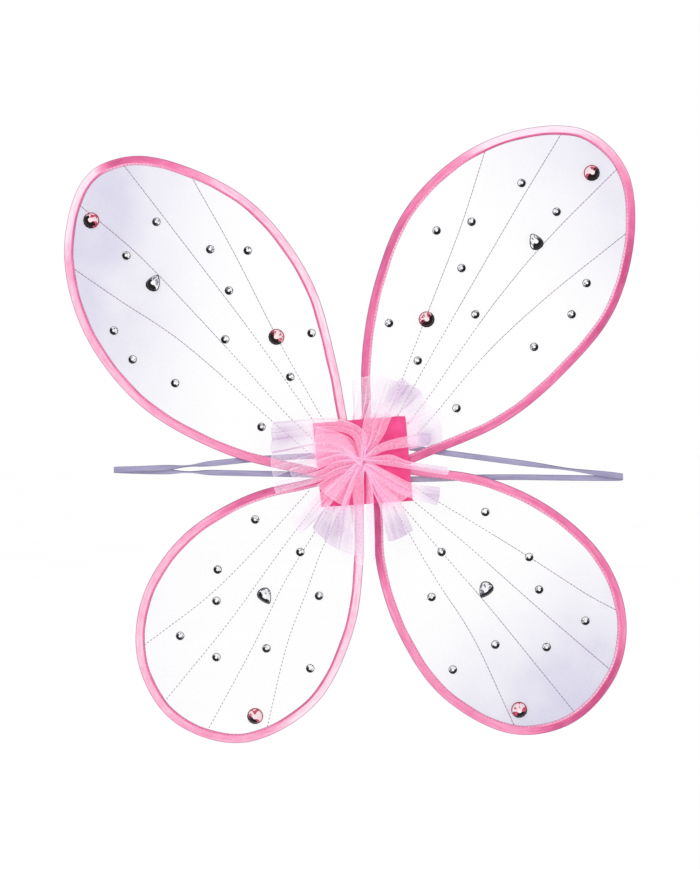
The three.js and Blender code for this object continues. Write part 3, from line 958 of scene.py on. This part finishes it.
def add_rosette(wings):
    """Petals behind the pad and, each on the last, in front of it, and the tuft in the middle."""
    by_name = {wing.name: wing for wing in wings}
    pad_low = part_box("front_pad")[0]
    wing_front = -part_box("upper_left_binding")[0].y

    def behind(x, z, u):
        return wing_front + BEHIND

    def under_pad(x, z):
        return 1 - min(beyond_pad(x, z) / PRESS_FADE, 1)

    def loose(x, z):
        return 0.0

    number = 0
    for row, petal_list in (("back", BACK_PETALS), ("front", FRONT_PETALS)):
        for order, (strip, over, width, folds, *edges) in enumerate(petal_list):
            number += 1

            def on_pad(x, z, u):
                stacked = STACK_MIDDLE * order * (1 - u) ** 2 + STACK_STEP * order
                return -pad_low.y + (PETAL_BASE + stacked) * MM + PETAL_RISE * u ** 2

            shape = (behind, under_pad, BACK_BULGE)
            if row == "front":
                shape = (on_pad, loose, FRONT_BULGE)
                edges = [[tuple(GATHERED_IN * c for c in edge[0]), *edge] for edge in edges]
            piece = petal(f"rosette_petal_{number}", width, folds, edges, *shape)
            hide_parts(f"rosette_strip_{strip}")
            by_name[over].bend(piece)
    add_heart(-pad_low.y)


def add_heart(base):
    """The tight tuft in the middle, where all the pleats are pinched together."""
    rows, columns, radius, rise = 10, 60, 3.6 * MM, 8 * MM
    pleats, wind, depth = 9, 2.2, 0.2
    points, uvs, cover = [], [], []
    for i in range(rows):
        u = (i + 0.15) / rows
        for j in range(columns):
            turn = 2 * pi * j / columns
            pleat = cos(pleats * turn + wind * u + 0.8 * sin(3 * turn))
            out = radius * u * (1 + depth * pleat)
            dome = sqrt(max(0.0, 1 - (u * 0.96) ** 2))
            height = base + rise * dome + 0.3 * MM * pleat * u
            points.append((out * cos(turn), -height, out * sin(turn)))
            uvs.append((turn * radius, out))
            cover.append(0.45 + 0.2 * pleat * u)
    points.append((0, -(base + rise), 0))
    uvs.append((0, 0))
    cover.append(0.5)
    faces = grid_faces(rows, columns, wrap=True)
    faces += [(rows * columns, (j + 1) % columns, j) for j in range(columns)]
    # The tuft is painted with the pad's pink light all over.
    piece = add_mesh("rosette_heart", points, faces, PETALS, uvs, cover=cover,
                     rosiness=[1.0] * len(points), moire=[0.0] * len(points))
    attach(piece, "pad")


def add_rosette_stitch():
    """A few turns of thread that hold the gathered middle."""
    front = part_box("rosette_stitch")[0].y
    reach, length = 2.6 * MM, 4.6 * MM
    lines = []
    for turn in (0.2, 1.1, 2.0, 2.8):
        dx, dz = reach * cos(turn), reach * sin(turn)
        across = [(-dx, front + MM, -dz), (0, front + 0.4 * MM, 0), (dx, front + MM, dz)]
        lines.append(resampled(np.array(across), 9))
    piece = stitches("rosette_stitch_thread", lines, MM, length, STITCH_RADIUS, SEAM_THREAD)
    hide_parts("rosette_stitch")
    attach(piece, "pad")


# ---- Shoulder loops ----
SELVEDGE = 0.8  # where the darker selvedge starts, as a share of the way out


def add_strap(side):
    """A flat elastic band, upright all round its loop and rounded at its selvedges."""
    route = np.array([(x, y + STRAP_Y / MM, z) for x, y, z in STRAPS[side]]) * MM
    path = resampled(smooth_curve(route), 260)
    along = length_along(path)
    section, boxy_face, boxy_side = [], 0.6, 0.5
    for turn in np.linspace(0, 2 * pi, 16, endpoint=False):
        thick = copysign(abs(sin(turn)) ** boxy_face, sin(turn))
        wide = copysign(abs(cos(turn)) ** boxy_side, cos(turn))
        section.append((thick * STRAP_THICKNESS / 2, wide * STRAP_WIDTH / 2))
    points, uvs, edges = [], [], []
    twist_x, reach, most, both = STRAP_TWISTS[side]
    for place, t, s in zip(path, directions(path), along):
        through = np.array((t[1], -t[0], 0))
        through /= norm(through)
        upright = np.cross(t, through)
        near = max(0.0, 1 - abs(place[0] / MM - twist_x) / reach)
        if both or s < along[-1] / 2:
            roll = radians(most) * near * near * (3 - 2 * near)
            through, upright = (through * cos(roll) + upright * sin(roll),
                                upright * cos(roll) - through * sin(roll))
        for thick, wide in section:
            points.append(place + through * thick + upright * wide)
            uvs.append((s, wide))
            edges.append(max(0.0, abs(wide) / (STRAP_WIDTH / 2) - SELVEDGE) * 4)
    count = len(section)
    faces = grid_faces(len(path), count, wrap=True)
    faces.append(tuple(reversed(range(count))))
    faces.append(tuple((len(path) - 1) * count + j for j in range(count)))
    piece = add_mesh(f"{side}_elastic_loop", points, faces, ELASTIC, uvs, edge=edges)
    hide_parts(f"{side}_elastic_strap")
    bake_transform(piece)


# ---- Stage ----
WORLD_LIGHT = 0.62  # the studio's soft light, beside a backdrop that shows white
LAMPS = {"key": ((-1.2, -1.8, 1.6), 1.0, 18), "fill": ((1.6, -1.4, 0.45), 0.8, 6)}


def add_stage():
    """A pale floor, a studio's even light and two soft lamps."""
    size, drop = 40.0, 0.12
    z = CAD_BOX[0][2] - drop
    corners = [(-size, -size, z), (size, -size, z), (size, size, z), (-size, size, z)]
    floor = add_mesh("floor", corners, [(0, 1, 2, 3)], pale_floor())
    world = bpy.data.worlds.new("studio")
    scene.world = world
    world.use_nodes = True
    tree = world.node_tree
    tree.nodes["Background"].inputs["Color"].default_value = (1, 1, 1, 1)
    seen = tree.nodes.new("ShaderNodeLightPath").outputs["Is Camera Ray"]
    strength = tree.nodes.new("ShaderNodeMapRange")
    strength.inputs["To Min"].default_value = WORLD_LIGHT
    strength.inputs["To Max"].default_value = 1.0
    tree.links.new(seen, strength.inputs["Value"])
    tree.links.new(strength.outputs["Result"], tree.nodes["Background"].inputs["Strength"])
    scene.view_settings.view_transform = "Standard"
    scene.cycles.transparent_max_bounces = 32
    for name, (place, size, power) in LAMPS.items():
        add_light(name, place, size, power)


def pale_floor():
    """A backdrop that shows nearly white however the lamps fall on it."""
    s = Shader("pale_floor", (0.1, 0.1, 0.1), 0.8, Emission_Color=(1, 1, 1, 1),
               Emission_Strength=0.933, Specular_IOR_Level=0.0)
    clouds = s.noise(s.place("Object"), 4.0)
    s.color(s.ramp(clouds, [(0.3, (0.09,) * 3), (0.7, (0.11,) * 3)]))
    return s.material


def add_light(name, place, size, power):
    """A soft square lamp that shines on the middle and isn't seen itself."""
    light = bpy.data.lights.new(name, "AREA")
    light.size = size
    light.energy = power
    lamp = bpy.data.objects.new(name, light)
    lamp.location = place
    lamp.visible_camera = False
    lamp.rotation_euler = (Vector((0, 0, 0)) - Vector(place)).to_track_quat("-Z", "Y").to_euler()
    scene.collection.objects.link(lamp)


def add_camera():
    """Square to the wings, far enough off for the whole frame to span 0.695 m of height."""
    height, lens, sensor = 0.695, 85, 36
    x, z, front = -0.0112, 0.022, -0.005
    camera = bpy.data.cameras.new("camera")
    camera.lens = lens
    camera.sensor_width = sensor
    eye = bpy.data.objects.new("camera", camera)
    eye.location = (x, front - height * lens / sensor, z)
    eye.rotation_euler = (pi / 2, 0, 0)
    scene.collection.objects.link(eye)
    scene.camera = eye


add_camera()
for strap_side in STRAPS:
    add_strap(strap_side)
all_wings = [Wing(name) for name in WINGS]
for each in all_wings:
    add_binding(each)
    add_seam(each)
    add_membrane(each)
    add_veins(each)
    add_gems(each)
for node_name, node in frame["nodes"].items():
    if "_wire" in node_name:
        node.data.materials.clear()
        node.data.materials.append(STEEL)
add_front_pad(all_wings)
add_back_pad()
add_rosette(all_wings)
add_rosette_stitch()
add_stage()
